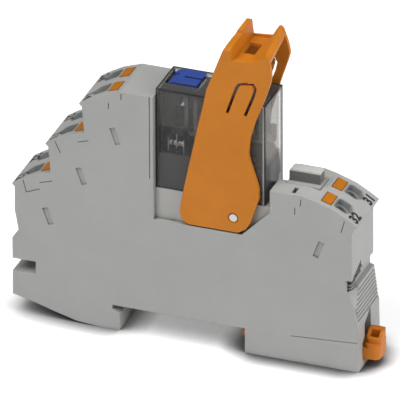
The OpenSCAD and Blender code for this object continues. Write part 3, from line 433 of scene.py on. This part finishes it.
def contact_screen():
    """An angled strip with a rounded rim, which stands on the relay's base."""
    low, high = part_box("relay_base")
    foot = BLADE_TOP - BLADE_RISE
    left, far = low[0] + SCREEN_INSET, high[1] - SCREEN_INSET
    outer_run = [(low[0] + SCREEN_REACH, far), (low[0] + SCREEN_CORNER, far),
                 (left, high[1] - SCREEN_CORNER), (left, low[1] + SCREEN_STOP)]
    inner_run = [(x + SCREEN_WALL * (x == left), y - SCREEN_WALL * (y == far)) for x, y in outer_run]
    mesh = bpy.data.meshes.new("contact_screen")
    work = bmesh.new()
    rows = []
    for outer, inner in zip(outer_run, inner_run):
        rows.append([work.verts.new((x, y, z)) for x, y in (outer, inner) for z in (foot, CARRIER_TOP)])
    for one, two in zip(rows, rows[1:]):
        work.faces.new((one[0], two[0], two[1], one[1]))
        work.faces.new((one[2], one[3], two[3], two[2]))
        work.faces.new((one[1], two[1], two[3], one[3]))
        work.faces.new((one[0], one[2], two[2], two[0]))
    for end in (rows[0], rows[-1]):
        work.faces.new((end[0], end[1], end[3], end[2]))
    bmesh.ops.recalc_face_normals(work, faces=work.faces)
    work.to_mesh(mesh)
    work.free()
    mesh.materials.append(BASE)
    screen = link_new("contact_screen", mesh)
    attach(screen, "relay")
    bevel = screen.modifiers.new("rim", "BEVEL")
    bevel.width = SCREEN_RIM
    bevel.segments = 2


contact_screen()

# Printed numbers beside the wire entries, on the outer facet of each deck. Places are in mm.
FACET_RUN, FACET_RISE = 2.6, 1.7
FACET = math.atan2(FACET_RISE, FACET_RUN)
PRINT_LIFT = 0.01
PRINT_THICKNESS = 0.012 * MM
DIGIT_SIZE = 3.7 * MM
DIGIT_WEIGHT = 0.17 * MM
COLUMNS = (-5.1, 5.1)
LEFT_TIP, TIER_STEP, LEFT_ALONG = (-26.2, 55.7), (9.07, 13), 1.75
RIGHT_TIP, RIGHT_ALONG = (47.6, 34.2), 1.85
LEFT_NUMBERS = (("14", "24"), ("11", "21"), ("12", "22"))
RIGHT_NUMBERS = ("32", "31")


def facet_matrix(tip, way, y, along):
    """Frame on a facet: x across the module for the reader, y up the deck, z out of it."""
    up_deck = Vector((way * math.cos(FACET), 0, math.sin(FACET)))
    out = Vector((-way * math.sin(FACET), 0, math.cos(FACET)))
    across = up_deck.cross(out)
    spot = Vector((tip[0], y, tip[1])) + up_deck * along + out * PRINT_LIFT
    rows = Matrix((across, up_deck, out)).transposed()
    return Matrix.Translation(spot * MM) @ rows.to_4x4()


def number(name, text, where):
    """Plain printed digits, a hair thick, as a mesh that rides on the housing."""
    curve = bpy.data.curves.new(name, "FONT")
    curve.body = text
    curve.size = DIGIT_SIZE
    curve.offset = DIGIT_WEIGHT
    curve.align_x = "CENTER"
    curve.align_y = "CENTER"
    curve.extrude = PRINT_THICKNESS
    curve.resolution_u = 4
    outline = link_new(name + "_text", curve)
    mesh = bpy.data.meshes.new_from_object(outline)
    bpy.data.objects.remove(outline)
    mesh.materials.clear()
    mesh.materials.append(INK)
    obj = link_new(name, mesh)
    obj.matrix_world = where
    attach(obj, "housing")


for tier, pair in enumerate(LEFT_NUMBERS):
    tier_tip = (LEFT_TIP[0] - TIER_STEP[0] * tier, LEFT_TIP[1] - TIER_STEP[1] * tier)
    for column, y in enumerate(COLUMNS):
        number(f"number_{tier}_{column}", pair[column], facet_matrix(tier_tip, 1, y, LEFT_ALONG))
for column, y in enumerate(COLUMNS):
    number(f"number_3_{column}", RIGHT_NUMBERS[column], facet_matrix(RIGHT_TIP, -1, y, RIGHT_ALONG))

# Floor, light and camera
FLOOR_REACH = 3
# The floor's contact shadow is painted: its darkest tone, how far it reaches, and how its strength changes
# along x.
FLOOR_TONE, CONTACT_SHADOW_TONE = (0.80, 0.80, 0.80), (0.04, 0.04, 0.042)
SHADOW_REACH = 7.5 * MM
SHADOW_START, SHADOW_RUN = 50 * MM, 110 * MM     # its power changes from x = -50 mm to 60 mm
SHADOW_POWER = 4
AMBIENT = 0.03


def grey(level):
    return (level, level, level)


def pale_floor():
    """Pale sweep that reads white to the camera and in reflections; it keeps the lamps' shadow, and to those
    rays it also has a painted contact shadow, darker where the part is near and stronger along some
    stretches of x.
    """
    mesh = bpy.data.meshes.new("floor")
    z = cad_box[0][2]
    corners = [(x * FLOOR_REACH, y * FLOOR_REACH, z) for x, y in ((-1, -1), (1, -1), (1, 1), (-1, 1))]
    mesh.from_pydata(corners, [], [(0, 1, 2, 3)])
    mat, tree, bsdf = new_material("floor_white")
    along = maths(tree, "DIVIDE", maths(tree, "ADD", axes(tree)["X"], SHADOW_START), SHADOW_RUN)
    share = ramp(tree, along, (0.0, grey(0.36)), (0.65, grey(0.97)), [(0.85, grey(0.97)), (0.94, grey(0.5))])
    power = product(tree, share, SHADOW_POWER)
    # Painted contact shadow: darker where the part is near.
    shade = maths(tree, "POWER", openness(tree, SHADOW_REACH, 1.0, samples=16), power)
    path = tree.nodes.new("ShaderNodeLightPath")
    not_camera = maths(tree, "SUBTRACT", 1, path.outputs["Is Camera Ray"])
    tone = ramp(tree, most(tree, shade, not_camera), (0.1, CONTACT_SHADOW_TONE), (0.85, FLOOR_TONE))
    tree.links.new(tone, bsdf.inputs["Base Color"])
    bsdf.inputs["Roughness"].default_value = 0.9
    seen = most(tree, *(path.outputs[f"Is {kind} Ray"] for kind in ("Camera", "Glossy", "Transmission")))
    bsdf.inputs["Emission Color"].default_value = (1, 1, 1, 1)
    tree.links.new(span(tree, product(tree, shade, seen), 0.0, 0.5), bsdf.inputs["Emission Strength"])
    mesh.materials.append(mat)
    floor = link_new("floor", mesh)


def white_world():
    """White to the camera past the floor's edge, and a faint light to everything else."""
    world = bpy.data.worlds.new("studio")
    bpy.context.scene.world = world
    world.use_nodes = True
    tree = world.node_tree
    back = tree.nodes["Background"]
    back.inputs["Color"].default_value = (1, 1, 1, 1)
    path = tree.nodes.new("ShaderNodeLightPath")
    level = span(tree, path.outputs["Is Camera Ray"], AMBIENT, 1.0)
    tree.links.new(level, back.inputs["Strength"])


LAMP_TARGET = Vector((0, 0, 0.03))
LAMPS = (  # name, place, size in metres, power in watts
    ("key", (-0.35, -0.55, 0.95), 0.7, 8.5),
    ("fill", (0.98, -0.15, 0.55), 0.8, 7.1),
    ("over", (0.1, 0.1, 1.0), 0.6, 2.8),
)


def lamp(name, place, size, power):
    data = bpy.data.lights.new(name, "AREA")
    data.shape = "DISK"
    data.size = size
    data.energy = power
    obj = link_new(name, data)
    obj.location = place
    aim = LAMP_TARGET - Vector(place)
    obj.rotation_euler = aim.to_track_quat("-Z", "Y").to_euler()


# The camera was fitted to the photograph's outline. Pixels are those of the photograph.
AZIMUTH, ELEVATION, ROLL = (math.radians(a) for a in (20.467, 28.671, -0.250))
DISTANCE = 3.8369
FOCAL_PX, PHOTO_PX = 15364.5, 400
AIM_PX = (189.011, 196.981)
AIM = Vector((0, 0, 0.030))
ASIDE = (PHOTO_PX / 2 - AIM_PX[0]) / FOCAL_PX * DISTANCE
ALOFT = (AIM_PX[1] - PHOTO_PX / 2) / FOCAL_PX * DISTANCE
SENSOR = 36


def photo_camera():
    back = Vector((math.sin(AZIMUTH) * math.cos(ELEVATION), -math.cos(AZIMUTH) * math.cos(ELEVATION),
                   math.sin(ELEVATION)))
    flat = Vector((math.cos(AZIMUTH), math.sin(AZIMUTH), 0))
    rise = back.cross(flat)
    right = math.cos(ROLL) * flat + math.sin(ROLL) * rise
    up = -math.sin(ROLL) * flat + math.cos(ROLL) * rise
    data = bpy.data.cameras.new("camera")
    data.sensor_width = SENSOR
    data.lens = SENSOR * FOCAL_PX / PHOTO_PX
    data.clip_end = 20
    cam = link_new("camera", data)
    turn = Matrix((right, up, back)).transposed().to_4x4()
    cam.matrix_world = Matrix.Translation(AIM + back * DISTANCE + right * ASIDE + up * ALOFT) @ turn
    bpy.context.scene.camera = cam


pale_floor()
white_world()
for setting in LAMPS:
    lamp(*setting)
photo_camera()
bpy.context.scene.view_settings.view_transform = "Standard"
